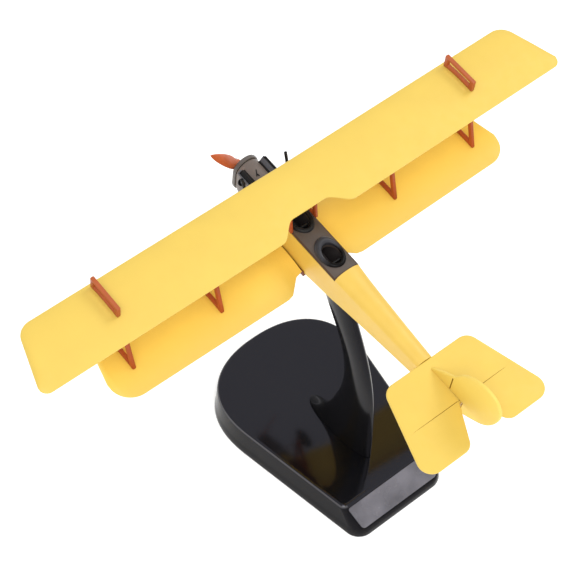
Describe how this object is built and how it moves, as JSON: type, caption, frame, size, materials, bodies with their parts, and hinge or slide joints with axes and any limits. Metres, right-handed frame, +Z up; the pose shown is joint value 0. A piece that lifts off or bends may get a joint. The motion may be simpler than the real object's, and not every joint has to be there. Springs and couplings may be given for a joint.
{
  "type": "biplane scale model",
  "caption": "Display model of an open-cockpit biplane, held nose up by a curved pylon on a D-shaped base, with a propeller and wheels that turn.",
  "frame": {"origin": "on the table, under the middle of the model's bounding box", "axes": "+X runs along the wings to the pilot's left, -Y towards the nose, +Z up"},
  "size_m": [0.131, 0.0814, 0.082],
  "materials": {
    "gloss_black": "polished black",
    "satin_grey": "smooth grey, blank",
    "steel": "bright",
    "yellow_metal": "satin paint",
    "yellow_plastic": "satin, faint rib texture",
    "orange_brown": "satin, wood-coloured paint",
    "taupe": "satin paint",
    "dark_grey": "satin",
    "coaming_black": "satin",
    "tyre_black": "matte"
  },
  "bodies": {
    "stand": {"stand_base": "gloss_black", "stand_pylon": "gloss_black", "pylon_screw": "steel", "nameplate": "satin_grey"},
    "aircraft": {"fuselage_body": "yellow_metal", "cockpit_deck": "taupe", "front_cockpit_coaming": "coaming_black", "rear_cockpit_coaming": "coaming_black", "front_seat": "dark_grey", "rear_seat": "dark_grey", "engine_cowling": "taupe", "radiator_shell": "taupe", "radiator_core": "dark_grey", "cylinder_bank_left": "dark_grey", "cylinder_bank_right": "dark_grey", "exhaust_stack_left": "dark_grey", "exhaust_stack_right": "dark_grey", "upper_wing": "yellow_plastic", "lower_wing_left": "yellow_plastic", "lower_wing_right": "yellow_plastic", "interplane_frame_inner_left": "orange_brown", "interplane_frame_inner_right": "orange_brown", "interplane_frame_outer_left": "orange_brown", "interplane_frame_outer_right": "orange_brown", "king_post_frame_left": "orange_brown", "king_post_frame_right": "orange_brown", "cabane_frame_left": "orange_brown", "cabane_frame_right": "orange_brown", "undercarriage_plate": "orange_brown", "undercarriage_leg_left": "orange_brown", "undercarriage_leg_right": "orange_brown", "wheel_axle": "steel", "tailplane": "yellow_plastic", "fin_and_rudder": "yellow_plastic", "tail_skid": "orange_brown"},
    "propeller": {"propeller": "orange_brown", "propeller_shaft": "steel", "propeller_nut": "steel"},
    "wheel_left": {"wheel_left": "taupe", "tyre_left": "tyre_black"},
    "wheel_right": {"wheel_right": "taupe", "tyre_right": "tyre_black"}
  },
  "joints": [
    {"name": "aircraft_lift", "type": "slide", "parent": "stand", "child": "aircraft", "axis": [0, 0, 1], "range_m": [0, 0.02]},
    {"name": "propeller_spin", "type": "hinge", "parent": "aircraft", "child": "propeller", "pos_m": [0, -0.03903, 0.06826], "axis": [0, 0.9923, -0.1236], "continuous": true},
    {"name": "wheel_left_spin", "type": "hinge", "parent": "aircraft", "child": "wheel_left", "pos_m": [0.00755, -0.02575, 0.0527], "axis": [1, 0, 0], "continuous": true},
    {"name": "wheel_right_spin", "type": "hinge", "parent": "aircraft", "child": "wheel_right", "pos_m": [-0.00755, -0.02575, 0.0527], "axis": [1, 0, 0], "continuous": true}
  ]
}
